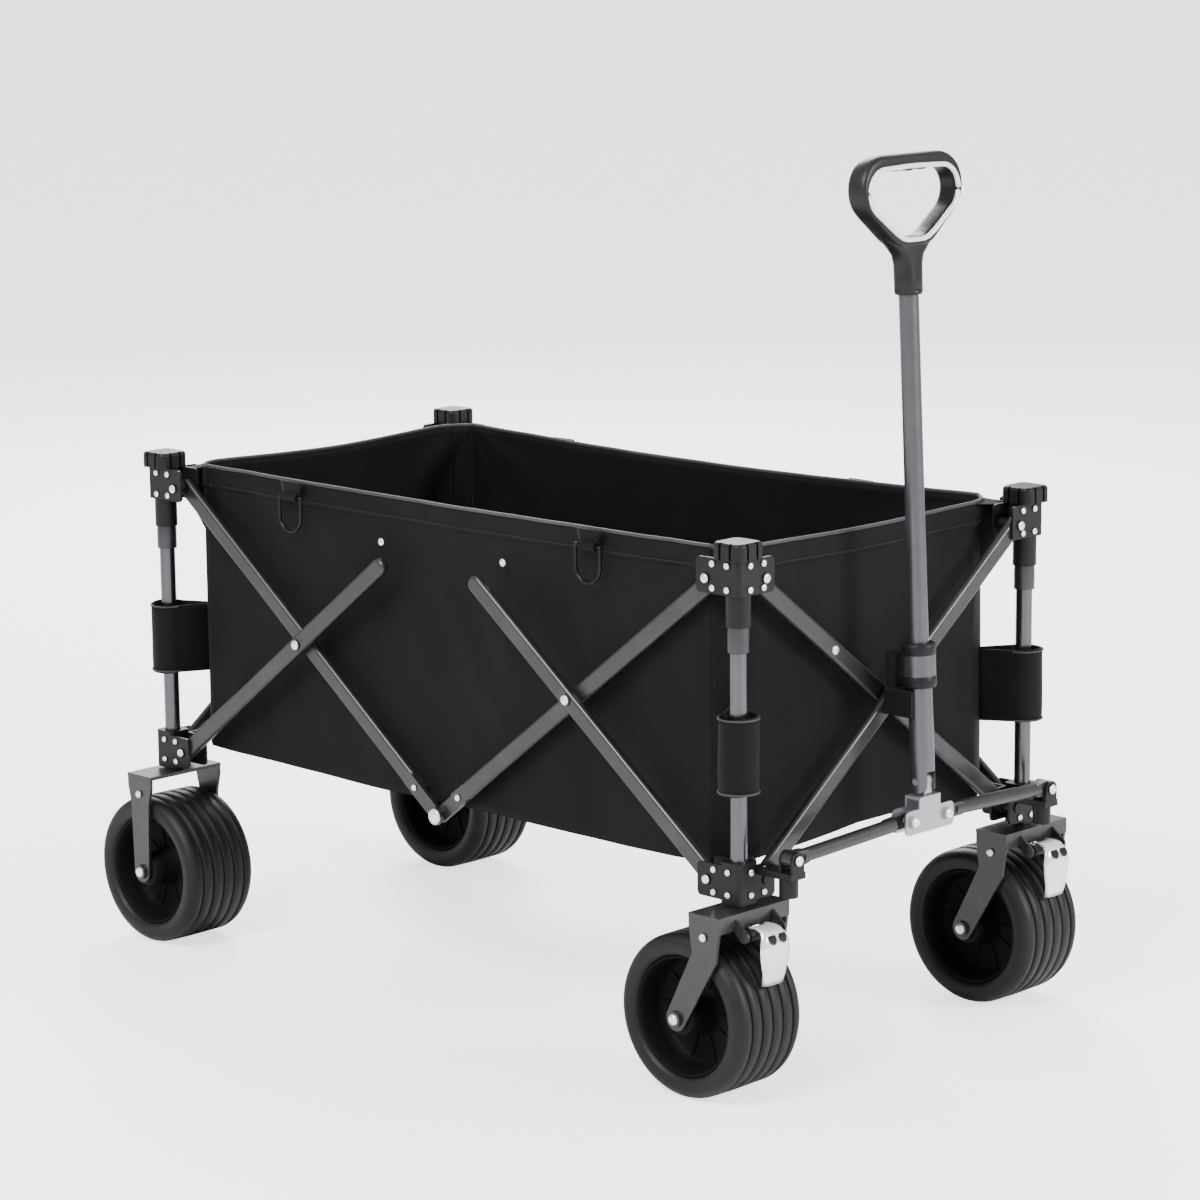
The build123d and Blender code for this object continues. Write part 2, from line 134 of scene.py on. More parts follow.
def lathe(name, profile, centre, axis, material, body, steps=96):
    turnTo = Vector((0, 0, 1)).rotation_difference(Vector(axis)).to_matrix()
    points = []
    for radius, height in profile:
        for k in range(steps):
            turn = 2 * math.pi * k / steps
            local = Vector((radius * math.cos(turn), radius * math.sin(turn), height)) / 1000
            points.append(centre + turnTo @ local)
    faces = gridFaces(len(profile), steps, True)
    return newPiece(name, points, faces, material, body)


def rivetHeads(name, spots, material, body):
    points, faces = [], []
    rings = ((1.0, 0.0), (0.98, 0.35), (0.82, 0.72), (0.5, 0.94), (0.0, 1.0))  # share of radius, of height
    sides = 16
    for centre, axis, radius, height in spots:
        turnTo = Vector((0, 0, 1)).rotation_difference(Vector(axis)).to_matrix()
        start = len(points)
        for share, lift in rings:
            wide = radius * share
            for k in range(sides):
                turn = 2 * math.pi * k / sides
                local = Vector((wide * math.cos(turn), wide * math.sin(turn), height * lift)) / 1000
                points.append(centre + turnTo @ local)
        faces += [tuple(start + i for i in face) for face in gridFaces(len(rings), sides, True)]
    return newPiece(name, points, faces, material, body)


# Shader groups
def newGroup(name, inputs, outputs):
    group = bpy.data.node_groups.new(name, "ShaderNodeTree")
    for label, value in inputs:
        kind = "NodeSocketColor" if isinstance(value, tuple) else "NodeSocketFloat"
        socket = group.interface.new_socket(name=label, in_out="INPUT", socket_type=kind)
        socket.default_value = value
    for label, kind in outputs:
        group.interface.new_socket(name=label, in_out="OUTPUT", socket_type=kind)
    return group, group.nodes.new("NodeGroupInput"), group.nodes.new("NodeGroupOutput")


def clothWeave():
    group, given, out = newGroup(
        "clothWeave",
        [("Threads", 900.0), ("Dark", (0.01, 0.01, 0.012, 1)), ("Light", (0.03, 0.03, 0.034, 1))],
        [("Height", "NodeSocketFloat"), ("Colour", "NodeSocketColor")])
    link, make = group.links.new, group.nodes.new
    coords = make("ShaderNodeUVMap")
    coords.uv_map = "UVMap"
    waves = []
    for direction in ("X", "Y"):
        wave = make("ShaderNodeTexWave")
        wave.bands_direction = direction
        wave.inputs["Distortion"].default_value = 0.6
        wave.inputs["Detail Scale"].default_value = 4.0
        link(coords.outputs["UV"], wave.inputs["Vector"])
        link(given.outputs["Threads"], wave.inputs["Scale"])
        waves.append(wave)
    cross = make("ShaderNodeMath")
    cross.operation = "MULTIPLY"
    link(waves[0].outputs["Fac"], cross.inputs[0])
    link(waves[1].outputs["Fac"], cross.inputs[1])
    place = make("ShaderNodeTexCoord")
    cloud = make("ShaderNodeTexNoise")
    cloud.inputs["Scale"].default_value = 6.0
    cloud.inputs["Detail"].default_value = 6.0
    link(place.outputs["Object"], cloud.inputs["Vector"])
    blend = make("ShaderNodeMath")
    blend.operation = "MULTIPLY_ADD"
    blend.inputs[1].default_value = 0.35
    link(cross.outputs[0], blend.inputs[0])
    link(cloud.outputs["Fac"], blend.inputs[2])
    ramp = make("ShaderNodeMapRange")
    ramp.inputs["From Min"].default_value = 0.35
    ramp.inputs["From Max"].default_value = 0.95
    link(blend.outputs[0], ramp.inputs["Value"])
    mix = make("ShaderNodeMix")
    mix.data_type = "RGBA"
    link(ramp.outputs["Result"], mix.inputs["Factor"])
    link(given.outputs["Dark"], mix.inputs[6])
    link(given.outputs["Light"], mix.inputs[7])
    link(cross.outputs[0], out.inputs["Height"])
    link(mix.outputs[2], out.inputs["Colour"])
    return group


def surfaceGrain():
    group, given, out = newGroup(
        "surfaceGrain",
        [("Scale", 900.0), ("Worn", 0.4), ("Base", (0.1, 0.1, 0.1, 1)), ("Rubbed", (0.2, 0.2, 0.2, 1))],
        [("Height", "NodeSocketFloat"), ("Colour", "NodeSocketColor"), ("Rough", "NodeSocketFloat")])
    link, make = group.links.new, group.nodes.new
    place = make("ShaderNodeTexCoord")
    fine = make("ShaderNodeTexNoise")
    fine.inputs["Detail"].default_value = 3.0
    link(given.outputs["Scale"], fine.inputs["Scale"])
    link(place.outputs["Object"], fine.inputs["Vector"])
    broad = make("ShaderNodeTexNoise")
    broad.inputs["Scale"].default_value = 22.0
    broad.inputs["Detail"].default_value = 8.0
    broad.inputs["Roughness"].default_value = 0.65
    link(place.outputs["Object"], broad.inputs["Vector"])
    patch = make("ShaderNodeMapRange")
    patch.inputs["From Min"].default_value = 0.5
    patch.inputs["From Max"].default_value = 0.75
    link(broad.outputs["Fac"], patch.inputs["Value"])
    worn = make("ShaderNodeMath")
    worn.operation = "MULTIPLY"
    link(patch.outputs["Result"], worn.inputs[0])
    link(given.outputs["Worn"], worn.inputs[1])
    mix = make("ShaderNodeMix")
    mix.data_type = "RGBA"
    link(worn.outputs[0], mix.inputs["Factor"])
    link(given.outputs["Base"], mix.inputs[6])
    link(given.outputs["Rubbed"], mix.inputs[7])
    rough = make("ShaderNodeMapRange")
    rough.inputs["To Min"].default_value = -0.06
    rough.inputs["To Max"].default_value = 0.08
    link(broad.outputs["Fac"], rough.inputs["Value"])
    link(fine.outputs["Fac"], out.inputs["Height"])
    link(mix.outputs[2], out.inputs["Colour"])
    link(rough.outputs["Result"], out.inputs["Rough"])
    return group


weaveGroup, grainGroup = clothWeave(), surfaceGrain()


def startMaterial(name):
    material = bpy.data.materials.new(name)
    material.use_nodes = True
    return material, material.node_tree, material.node_tree.nodes["Principled BSDF"]


def bumpInto(tree, shader, height, strength, distance):
    bump = tree.nodes.new("ShaderNodeBump")
    bump.inputs["Strength"].default_value = strength
    bump.inputs["Distance"].default_value = distance
    tree.links.new(height, bump.inputs["Height"])
    tree.links.new(bump.outputs["Normal"], shader.inputs["Normal"])


def grainedMaterial(name, base, rubbed, roughness, metallic=0.0, grain=900.0, worn=0.4,
                    bump=0.15, coat=0.0, gloss=0.5):
    material, tree, shader = startMaterial(name)
    effect = tree.nodes.new("ShaderNodeGroup")
    effect.node_tree = grainGroup
    effect.inputs["Scale"].default_value = grain
    effect.inputs["Worn"].default_value = worn
    effect.inputs["Base"].default_value = (*base, 1)
    effect.inputs["Rubbed"].default_value = (*rubbed, 1)
    tree.links.new(effect.outputs["Colour"], shader.inputs["Base Color"])
    total = tree.nodes.new("ShaderNodeMath")
    total.inputs[1].default_value = roughness
    tree.links.new(effect.outputs["Rough"], total.inputs[0])
    tree.links.new(total.outputs[0], shader.inputs["Roughness"])
    shader.inputs["Metallic"].default_value = metallic
    shader.inputs["Coat Weight"].default_value = coat
    shader.inputs["Specular IOR Level"].default_value = gloss
    bumpInto(tree, shader, effect.outputs["Height"], strength=bump, distance=0.0004)
    return material


def clothMaterial(name, dark, light, threads, roughness, sheen):
    material, tree, shader = startMaterial(name)
    effect = tree.nodes.new("ShaderNodeGroup")
    effect.node_tree = weaveGroup
    effect.inputs["Threads"].default_value = threads
    effect.inputs["Dark"].default_value = (*dark, 1)
    effect.inputs["Light"].default_value = (*light, 1)
    tree.links.new(effect.outputs["Colour"], shader.inputs["Base Color"])
    shader.inputs["Roughness"].default_value = roughness
    shader.inputs["Specular IOR Level"].default_value = 0.12
    shader.inputs["Sheen Weight"].default_value = sheen
    bumpInto(tree, shader, effect.outputs["Height"], strength=0.35, distance=0.0005)
    return material


frameSteel = grainedMaterial(
    "frameSteel", (0.05, 0.05, 0.054), (0.085, 0.085, 0.09),
    roughness=0.36, metallic=0.8, grain=500.0, worn=0.5, bump=0.08, coat=0.15)
postSteel = grainedMaterial(
    "postSteel", (0.11, 0.11, 0.118), (0.16, 0.16, 0.17),
    roughness=0.24, metallic=0.95, grain=500.0, worn=0.4, bump=0.05)
ringSteel = grainedMaterial(
    "ringSteel", (0.022, 0.022, 0.024), (0.05, 0.05, 0.055),
    roughness=0.3, metallic=0.95, grain=500.0, worn=0.4, bump=0.05)
bracketNylon = grainedMaterial(
    "bracketNylon", (0.007, 0.007, 0.008), (0.014, 0.014, 0.016),
    roughness=0.42, metallic=0.0, grain=1400.0, worn=0.5, bump=0.2, gloss=0.22)
forkSteel = grainedMaterial(
    "forkSteel", (0.05, 0.05, 0.054), (0.08, 0.08, 0.085),
    roughness=0.36, metallic=0.75, grain=500.0, worn=0.5, bump=0.08, coat=0.15)
tyreRubber = grainedMaterial(
    "tyreRubber", (0.0035, 0.0035, 0.004), (0.009, 0.009, 0.01),
    roughness=0.5, metallic=0.0, grain=1100.0, worn=0.6, bump=0.25, gloss=0.3)
rimPlastic = grainedMaterial(
    "rimPlastic", (0.0018, 0.0018, 0.002), (0.004, 0.004, 0.0045),
    roughness=0.68, metallic=0.0, grain=900.0, worn=0.4, bump=0.12, gloss=0.15)
zincRivet = grainedMaterial(
    "zincRivet", (0.92, 0.92, 0.94), (0.82, 0.82, 0.84),
    roughness=0.3, metallic=0.75, grain=700.0, worn=0.4, bump=0.05)
brakeChrome = grainedMaterial(
    "brakeChrome", (0.92, 0.92, 0.94), (0.8, 0.8, 0.83),
    roughness=0.22, metallic=0.6, grain=500.0, worn=0.4, bump=0.04)
drawbarSteel = grainedMaterial(
    "drawbarSteel", (0.115, 0.115, 0.125), (0.16, 0.16, 0.17),
    roughness=0.3, metallic=0.85, grain=600.0, worn=0.4, bump=0.05)
platedSteel = grainedMaterial(
    "platedSteel", (0.4, 0.4, 0.42), (0.5, 0.5, 0.52),
    roughness=0.35, metallic=0.8, grain=600.0, worn=0.4, bump=0.05)
gripPlastic = grainedMaterial(
    "gripPlastic", (0.01, 0.01, 0.011), (0.018, 0.018, 0.02),
    roughness=0.38, metallic=0.0, grain=1300.0, worn=0.5, bump=0.15, gloss=0.25)
gripTrim = grainedMaterial(
    "gripTrim", (0.9, 0.9, 0.92), (0.8, 0.8, 0.82),
    roughness=0.3, metallic=0.1, grain=900.0, worn=0.3, bump=0.05, coat=0.3)
bagCanvas = clothMaterial(
    "bagCanvas", (0.0012, 0.0012, 0.0015), (0.0045, 0.0045, 0.0052),
    threads=520.0, roughness=0.62, sheen=0.02)
webbingTape = clothMaterial(
    "webbingTape", (0.0015, 0.0015, 0.002), (0.006, 0.006, 0.007),
    threads=380.0, roughness=0.7, sheen=0.04)
rimPiping = clothMaterial(
    "rimPiping", (0.03, 0.03, 0.034), (0.08, 0.08, 0.088),
    threads=700.0, roughness=0.5, sheen=0.1)
stitchThread = grainedMaterial(
    "stitchThread", (0.01, 0.01, 0.011), (0.02, 0.02, 0.022),
    roughness=0.6, metallic=0.0, grain=1500.0, worn=0.5, bump=0.2)

finishes = {  # by the start of a node's name; the longest match holds
    "bar": frameSteel, "post": postSteel, "fork": forkSteel, "link": frameSteel,
    "low_bracket": bracketNylon, "top_bracket": bracketNylon,
    "handle_bracket": platedSteel, "handle_clip": bracketNylon, "handle_lower": drawbarSteel,
    "handle_upper": drawbarSteel, "handle_grip": gripPlastic, "pedal": brakeChrome,
    "d_ring": ringSteel, "ring_tab": webbingTape, "tyre": tyreRubber, "rim": rimPlastic, "bag": bagCanvas}
for name, piece in nodes.items():
    found = [key for key in finishes if name.startswith(key)]
    piece.data.materials.clear()
    piece.data.materials.append(finishes[max(found, key=len)])
    if not name.startswith(("tyre", "rim", "bag", "handle_grip")):
        edge = piece.modifiers.new("softEdge", "BEVEL")
        edge.width = 0.0006
        edge.segments = 2
        edge.limit_method = "ANGLE"
        edge.angle_limit = math.radians(35)
        edge.harden_normals = True
print("frame materials done")

# Wheels: a grooved wide tyre round a recessed rim with radial ribs.
wheel = {"radius": 87.5, "halfWidth": 48.0, "rimRadius": 64.0, "grooves": (-31, -15.5, 0, 15.5, 31),
         "grooveHalf": 1.7, "grooveDepth": 3.2, "crown": 0.012, "ribs": 10,
         "ribLine": ((19, 17), (26, 12.8), (40, 11.6), (52, 12.2), (59.5, 15))}


def tyreProfile():
    half, outer, lip = wheel["halfWidth"], wheel["radius"], wheel["grooveHalf"]
    floor = outer - wheel["grooveDepth"]
    shoulder = [
        (wheel["rimRadius"] + 0.2, -half + 7), (66, -half + 2.5), (69, -half + 0.8),
        (73, -half + 0.4), (76, -half), (79.5, -half + 0.8), (83.2, -half + 3.2),
        (85.9, -half + 7), (87, -half + 10.5)]
    points = list(shoulder)
    left = -half + 11.5
    for groove in wheel["grooves"]:
        drop = abs(groove) * wheel["crown"]  # the tread falls away to the sides
        points += [
            (outer - drop, left), (outer - drop, groove - lip), (outer - 0.8 - drop, groove - 1.3),
            (floor, groove - 0.9), (floor, groove + 0.9), (outer - 0.8 - drop, groove + 1.3)]
        left = groove + lip
    points.append((outer - 0.4, left))
    return points + [(r, -h) for r, h in reversed(shoulder)]


def rimPiece(name, centre, body):
    face = [
        (63.9, 41), (63.8, 43), (62, 42), (60, 38), (58.5, 22), (57, 13), (52, 10.5), (38, 10),
        (27, 11), (22, 17), (20, 34), (18.5, 46), (16.5, 48), (5.3, 48.4)]
    back = [(r, -h) for r, h in reversed(face)]
    profile = back[-3:] + face + back[:-2]
    rim = lathe(name, profile, centre, (0, 1, 0), rimPlastic, body)
    points, faces = [], []
    for k in range(wheel["ribs"]):
        turn = Matrix.Rotation(2 * math.pi * k / wheel["ribs"], 3, "Y")
        for side in (-1, 1):
            start = len(points)
            for r, depth in wheel["ribLine"]:
                for across, low in ((-2.2, 8), (-1.3, depth), (1.3, depth), (2.2, 8)):
                    points.append(centre + turn @ (Vector((r, side * low, across)) / 1000))
            faces += [tuple(start + i for i in face) for face in gridFaces(5, 4)]
            faces.append((start, start + 1, start + 2, start + 3))
            faces.append((start + 19, start + 18, start + 17, start + 16))
    newPiece(name + "_ribs", points, faces, rimPlastic, body, smooth=False)
    return rim


for corner in cornerName.values():
    centre = boxMiddle("tyre_" + corner)
    body = "wheel_" + corner
    tyre = lathe("tyreTread_" + corner, tyreProfile(), centre, (0, 1, 0), tyreRubber, body, 128)
    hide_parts("tyre_" + corner)
    rim = rimPiece("rimDish_" + corner, centre, body)
    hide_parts("rim_" + corner)
print("wheels done")

# Rivets and bolt heads
scissor = {"side": 422.3, "cross": 216.3, "half": 206.0, "low": 230.0, "middle": 387.5, "top": 545.0}
rivet = {"small": (3.6, 1.5), "pivot": (5.0, 1.8), "crossing": (5.6, 1.8),  # radius, height
         "face": 15.4, "offsets": (2, 22), "topRows": (536, 561), "lowRows": (218, 242)}


def bracketRivets(sx, sy, rows, pivotZ):
    spots = []
    for z in rows:
        for offset in rivet["offsets"]:
            sideSpot = at(sx * (postAlong - offset), sy * (postAcross + rivet["face"]), z)
            endSpot = at(sx * (postAlong + rivet["face"]), sy * (postAcross - offset), z)
            spots.append((sideSpot, (0, sy, 0), *rivet["small"]))
            spots.append((endSpot, (sx, 0, 0), *rivet["small"]))
    pivot = at(sx * scissor["side"], sy * (postAcross + 16), pivotZ)
    return spots + [(pivot, (0, sy, 0), *rivet["pivot"])]


def endPivot(sx, sy, z):
    return at(sx * (postAlong + 16), sy * scissor["half"], z), (sx, 0, 0), *rivet["pivot"]


for (sx, sy), corner in cornerName.items():
    spots = bracketRivets(sx, sy, rivet["topRows"], scissor["top"])
    spots.append(endPivot(sx, sy, scissor["top"]))
    rivetHeads("topRivets_" + corner, spots, zincRivet, topBody[sx, sy])
    spots = bracketRivets(sx, sy, rivet["lowRows"], scissor["low"])
    if sx > 0:
        spots.append((at(516, sy * 208, 258), (1, 0, 0), 5.5, 2.0))  # the link's bolt
    else:
        spots.append(endPivot(sx, sy, scissor["low"]))
    rivetHeads("lowRivets_" + corner, spots, zincRivet, lowBody[sx, sy])
    wheelCentre = boxMiddle("tyre_" + corner)
    low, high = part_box("fork_" + corner)
    forkBody = "caster_" + corner if sx > 0 else lowBody[sx, sy]
    spots = []
    for end, edge in ((-1, low.y), (1, high.y)):
        spots.append((Vector((wheelCentre.x, edge, wheelCentre.z)), (0, end, 0), 6.0, 3.0))
        spots.append((at(sx * postAlong, edge * 1000 - end * 2.0, 182), (0, end, 0), 4.4, 2.4))
    rivetHeads("axleBolts_" + corner, spots, zincRivet, forkBody)
for side, sy in (("right", -1), ("left", 1)):
    for which, sx in (("low_rear", -1), ("low_front", 1)):
        place = at(sx * scissor["cross"], sy * (postAcross + 12.6), scissor["middle"])
        spot = [(place, (0, sy, 0), *rivet["crossing"])]
        rivetHeads("crossRivet_%s_%s" % (side, which), spot, zincRivet, "bar_%s_%s" % (side, which))
    spots = [(at(0, sy * (postAcross + 2), 222.1), (0, sy, 0), 9.0, 3.0)]
    spots.append((at(-35, sy * postAcross, 248.8), (0, sy, 0), 3.8, 1.4))
    rivetHeads("middleRivet_" + side, spots, zincRivet, "bar_%s_high_rear" % side)
    spot = [(at(35, sy * postAcross, 248.8), (0, sy, 0), 3.8, 1.4)]
    rivetHeads("middleRivetFront_" + side, spot, zincRivet, "bar_%s_high_front" % side)
bolts = [(at(519.1, y, 265), (1, 0, 0), 5.4, 2.0) for y in (-27.5, 27.5)]
rivetHeads("bracketBolts", bolts, zincRivet, "handle_bracket")
spot = [(at(postAlong - 1, -81, 449), (1, 0, 0), 5.0, 2.0)]
rivetHeads("frontBarRivet", spot, zincRivet, "bar_front_inner")
print("rivets done")

# Bag: one shell of cloth panels sewn at the corners, hung from the rim.
bag = {"sideY": 215.5, "frontX": 431.0, "sideEnd": 403.0, "frontEnd": 176.0,
       "top": 570.0, "bottom": 240.0, "cloth": 0.0014}


def foldNoise(u, v, phase):
    total = 0.8 * math.sin(9.0 * u + 3.1 * v + phase) + 0.6 * math.sin(17.0 * u - 6.0 * v + 2.1 * phase)
    return total + 0.45 * math.sin(31.0 * u + 11.0 * v + 0.7 * phase) * math.sin(7.0 * v + phase)


def panel(name, path, lowEdge, highEdge, push, material, body, rows=40):
    path = [Vector(p) for p in path]
    lengths = [0.0]
    for a, b in zip(path, path[1:]):
        lengths.append(lengths[-1] + (b - a).length)
    total = lengths[-1]
    points, uv = [], []
    for r in range(rows):
        t = r / (rows - 1)
        for i, p in enumerate(path):
            s = lengths[i] / total
            before, after = path[max(i - 1, 0)], path[min(i + 1, len(path) - 1)]
            along = (after - before).normalized()
            outward = Vector((along.y, -along.x))
            z = lowEdge(s) * (1 - t) + highEdge(s) * t
            out = push(s, t)
            points.append(at(p.x + outward.x * out, p.y + outward.y * out, z))
            uv.append((lengths[i] / 1000, z / 1000))
    piece = newPiece(name, points, gridFaces(rows, len(path)), material, body, uv)
    return piece, total / 1000


def cornerTension(s, t):
    fan = 0.0
    for corner in (0.0, 1.0):
        away = abs(s - corner)
        reachOut = math.hypot(away * 2.2, (1 - t) * 1.1)
        slope = math.atan2(1 - t, away * 2.2 + 1e-4)
        fan += math.exp(-2.6 * reachOut) * math.sin(slope * 9.0) * 3.4
    return fan


def sidePush(s, t):
    sag = -11.0 * math.sin(math.pi * s) * t ** 3
    belly = -5.0 * math.sin(math.pi * t) * math.sin(math.pi * s)
    folds = foldNoise(s * 2.2, t, 0.4) * (0.5 + math.sin(math.pi * t)) * 1.5
    ends = min(1.0, 14 * min(s, 1 - s) + 0.05)
    flare = 4.0 * math.exp(-14 * t)  # room for the floor to swing up inside
    return (sag + belly + folds + cornerTension(s, t) + flare) * ends - 1.6


def sidePath(sy, steps=150):
    xs = np.linspace(-bag["sideEnd"], bag["sideEnd"], steps)
    if sy > 0:
        xs = xs[::-1]
    return [(x, sy * bag["sideY"]) for x in xs]


def endPath(sx):
    corner = []
    a = Vector((bag["sideEnd"], bag["sideY"]))
    b = Vector((bag["frontX"] - 2, bag["sideY"] - 3))
    c = Vector((bag["frontX"], bag["frontEnd"]))
    for k in range(13):
        w = k / 12
        corner.append(a * (1 - w) ** 2 + b * 0.55 * 2 * w * (1 - w)
                      + (a + c) / 2 * 0.45 * 2 * w * (1 - w) + c * w ** 2)
    lower = [Vector((p.x, -p.y)) for p in corner]
    middle = [Vector((bag["frontX"], y)) for y in np.linspace(-bag["frontEnd"], bag["frontEnd"], 70)[1:-1]]
    path = lower + middle + list(reversed(corner))
    if sx < 0:
        path = [Vector((-p.x, p.y)) for p in reversed(path)]
    return path


def sideLow(s):
    return bag["bottom"] - 5 + 2 * abs(2 * s - 1) ** 3 + 0.8 * math.sin(13 * s)


def sideHigh(s):
    return bag["top"] - 5 * math.sin(math.pi * s)


def endLow(s):
    return bag["bottom"] - 2 + 10 * math.sin(math.pi * s) ** 2 + 1.2 * math.sin(15 * s)


def endHigh(s):
    return bag["top"] - 1 - 5 * math.sin(math.pi * s) ** 2


def endPush(s, t):
    folds = foldNoise(s * 1.6, t, 1.7) * (0.4 + math.sin(math.pi * t)) * 0.9
    ends = min(1.0, 8 * min(s, 1 - s) + 0.05)
    return (-7.0 * math.sin(math.pi * s) * t ** 3 + folds + cornerTension(s, t)) * ends - 1.4


walls = {}
for side, sy in (("right", -1), ("left", 1)):
    body = topBody[-1, sy]
    wall, long = panel("bagWall_" + side, sidePath(sy), sideLow, sideHigh, sidePush, bagCanvas, body)
    thicken(wall, bag["cloth"])
    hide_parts("bag_side_" + side)
    walls[side] = (wall, long, 0.325)
for end, sx, sy in (("front", 1, -1), ("rear", -1, -1)):
    body = topBody[sx, sy]
    wall, long = panel("bagWall_" + end, endPath(sx), endLow, endHigh, endPush, bagCanvas, body)
    thicken(wall, bag["cloth"])
    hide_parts("bag_" + end)
    walls[end] = (wall, long, 0.305)


# Hem: a folded band of the same cloth with a row of stitches under the piping.
hem = {"tall": 24, "proud": 1.6, "stitchDrop": 20}


def hemBand(name, path, high, push, body):
    def hemPush(s, t):
        return push(s, 1 - (1 - t) * 0.07) + hem["proud"] + 0.25 * math.sin(90 * s)

    def hemLow(s):
        return high(s) - hem["tall"]

    band = panel(name, path, hemLow, lambda s: high(s) + 0.5, hemPush, bagCanvas, body, rows=7)[0]
    thicken(band, 0.0008)
    return band


def rimBead(name, path, high, push, body):
    points = []
    path = [Vector(p) for p in path]
    total = sum((b - a).length for a, b in zip(path, path[1:]))
    run = 0.0
    for i, p in enumerate(path):
        if i:
            run += (p - path[i - 1]).length
        s = run / total
        along = (path[min(i + 1, len(path) - 1)] - path[max(i - 1, 0)]).normalized()
        out = push(s, 1.0) + 0.6
        points.append(at(p.x + along.y * out, p.y - along.x * out, high(s) + 1.2))
    return tubeAlong(name, points, 0.0021, rimPiping, body, sides=10)


def stitchRow(name, path, height, push, body, pitch=5.0):
    path = [Vector(p) for p in path]
    points, faces = [], []
    total = sum((b - a).length for a, b in zip(path, path[1:]))
    run, due = 0.0, 4.0
    for i in range(1, len(path)):
        step = (path[i] - path[i - 1]).length
        along = (path[i] - path[i - 1]).normalized()
        outward = Vector((along.y, -along.x))
        while due < run + step:
            spot = path[i - 1] + along * (due - run)
            s = due / total
            z, out = height(s), push(s, 0.96) + 2.55
            start = len(points)
            for du, dz in ((-1.5, -0.35), (1.5, -0.35), (1.5, 0.35), (-1.5, 0.35)):
                for lift in (0.0, 0.45):
                    q = spot + along * du + outward * (out + lift)
                    points.append(at(q.x, q.y, z + dz))
            for quad in ((1, 3, 5, 7), (0, 1, 3, 2), (2, 3, 5, 4), (4, 5, 7, 6), (6, 7, 1, 0)):
                faces.append(tuple(start + k for k in quad))
            due += pitch
        run += step
    return newPiece(name, points, faces, stitchThread, body, smooth=False)


def sideStitch(s):
    return sideHigh(s) - hem["stitchDrop"]


def endStitch(s):
    return endHigh(s) - hem["stitchDrop"]


soft = []  # wall, axis the wall runs along, piece
for side, sy in (("right", -1), ("left", 1)):
    body, path = topBody[-1, sy], sidePath(sy)
    soft.append((side, "X", hemBand("bagHem_" + side, path, sideHigh, sidePush, body)))
    soft.append((side, "X", rimBead("bagPiping_" + side, path, sideHigh, sidePush, body)))
    soft.append((side, "X", stitchRow("bagStitch_" + side, path, sideStitch, sidePush, body)))
for end, sx in (("front", 1), ("rear", -1)):
    body, path = topBody[sx, -1], endPath(sx)
    soft.append((end, "Y", hemBand("bagHem_" + end, path, endHigh, endPush, body)))
    soft.append((end, "Y", rimBead("bagPiping_" + end, path, endHigh, endPush, body)))
    soft.append((end, "Y", stitchRow("bagStitch_" + end, path, endStitch, endPush, body)))


# Bottom of each end: a strip turned in under the wall, out to the floor halves.
def turnedStrip(name, path, sx, body):
    points, uv = [], []
    rows = 8
    for r in range(rows):
        v = r / (rows - 1)
        for i, p in enumerate(path):
            s = i / (len(path) - 1)
            x = (p.x - sx * 2.4) * (1 - v) + sx * 396 * v
            y = p.y * (0.985 - 0.012 * v)
            z = (endLow(s) + 2.0) * (1 - v) ** 2 + 240.6 * (1 - (1 - v) ** 2)
            points.append(at(x, y, z))
            uv.append((y / 1000, v * 0.035))
    strip = newPiece(name, points, gridFaces(rows, len(path)), bagCanvas, body, uv)
    thicken(strip, 0.0012)
    return strip


for end, sx in (("front", 1), ("rear", -1)):
    soft.append((end, "Y", turnedStrip("bagTurnIn_" + end, endPath(sx), sx, topBody[sx, -1])))
for key, axis, piece in soft:
    if axis == "X":
        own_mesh(piece)
    else:
        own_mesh(piece)
for key, (wall, long, tall) in walls.items():
    if key in ("right", "left"):
        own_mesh(wall)
    else:
        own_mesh(wall)
    corner = topBody[(1 if key == "front" else -1, 1 if key == "left" else -1)]
print("bag walls done")

# Floor of the bag: two stiffened halves that fold up along the middle, joined by a tape.
base = {"start": -400, "length": 800, "edge": 211.0, "reach": 4.4, "ridge": 4.0,
        "top": 238.0, "quilt": 1.4, "tapeTop": 240.3, "tapeRows": (-9.0, -4.0, 0.0, 4.4)}
tapeXs = [base["start"] + base["length"] * c / 89 for c in range(90)]
tapePoints = [at(x, y, base["tapeTop"]) for y in base["tapeRows"] for x in tapeXs]
tapeUv = [(p.x, p.y) for p in tapePoints]
floorTape = newPiece("bagFloorTape", tapePoints, gridFaces(4, 90), webbingTape, "bag_floor_right", tapeUv)
thicken(floorTape, 0.0008)
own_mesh(floorTape)
for side, sy in (("right", -1), ("left", 1)):
    points, uv = [], []
    rows, columns = 24, 90
    for r in range(rows):
        for c in range(columns):
            u, v = c / (columns - 1), r / (rows - 1)
            edgeY = base["edge"] + base["reach"] * min(1.0, 14 * min(u, 1 - u))
            x = base["start"] + base["length"] * u
            y = sy * (edgeY - (edgeY - base["ridge"]) * v)
            inward = min(max(v, 0.02), 0.98)
            quilt = abs(math.sin(4 * math.pi * u)) ** 0.35 * abs(math.sin(math.pi * inward)) ** 0.35
            points.append(at(x, y, base["top"] + base["quilt"] * quilt))
            uv.append((u * 0.8, v * 0.211))
    faces = gridFaces(rows, columns)
    if sy > 0:
        faces = [tuple(reversed(face)) for face in faces]
    half = newPiece("bagFloor_" + side, points, faces, bagCanvas, "bag_floor_" + side, uv)
    thicken(half, 0.0014, -1.0)
    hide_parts("bag_floor_" + side)
    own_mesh(half)

